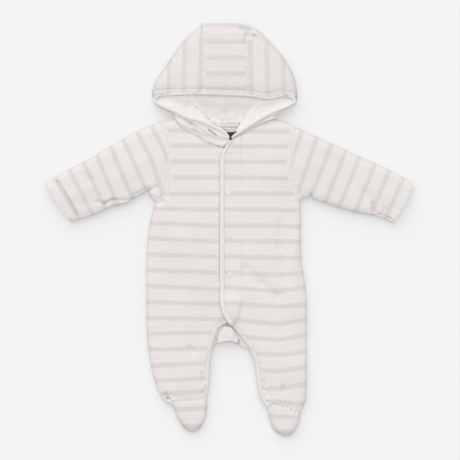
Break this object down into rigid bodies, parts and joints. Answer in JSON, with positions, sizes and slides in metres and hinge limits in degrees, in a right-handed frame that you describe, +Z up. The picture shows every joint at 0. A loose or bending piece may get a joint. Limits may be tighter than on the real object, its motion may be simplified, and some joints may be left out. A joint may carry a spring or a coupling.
{
  "type": "padded pramsuit",
  "caption": "Padded velour baby pramsuit with a three-panel hood, long sleeves, feet and a popper front, laid flat face up.",
  "frame": {"origin": "middle of the garment's outline, on the surface that it lies on", "axes": "+Y from the feet to the hood, +X to the right as seen from above, +Z up, away from the surface"},
  "size_m": [0.646, 0.7226, 0.0274],
  "materials": {
    "velour": "cut velour, cream with pale mauve-grey stripes",
    "jersey": "cream cotton jersey",
    "binding": "cream jersey binding",
    "label": "dark woven tape, bare",
    "popper": "pale moulded plastic, satin"
  },
  "bodies": {
    "root": {"back": "velour", "front_left": "velour", "front_right": "velour", "sleeve_left": "velour", "sleeve_right": "velour", "foot_upper_left": "velour", "foot_upper_right": "velour", "sole_left": "velour", "sole_right": "velour", "hood_centre": "velour", "hood_side_left": "velour", "hood_side_right": "velour", "hood_front_left": "velour", "hood_front_right": "velour", "crotch_facing": "velour", "hood_lining_centre": "jersey", "hood_lining_left": "jersey", "hood_lining_right": "jersey", "neck_tape": "jersey", "binding_front": "binding", "binding_leg_left": "binding", "binding_hood": "binding", "neck_label": "label", "popper_1": "popper", "popper_2": "popper", "popper_3": "popper", "popper_4": "popper", "popper_5": "popper", "popper_6": "popper", "popper_7": "popper"}
  },
  "joints": []
}
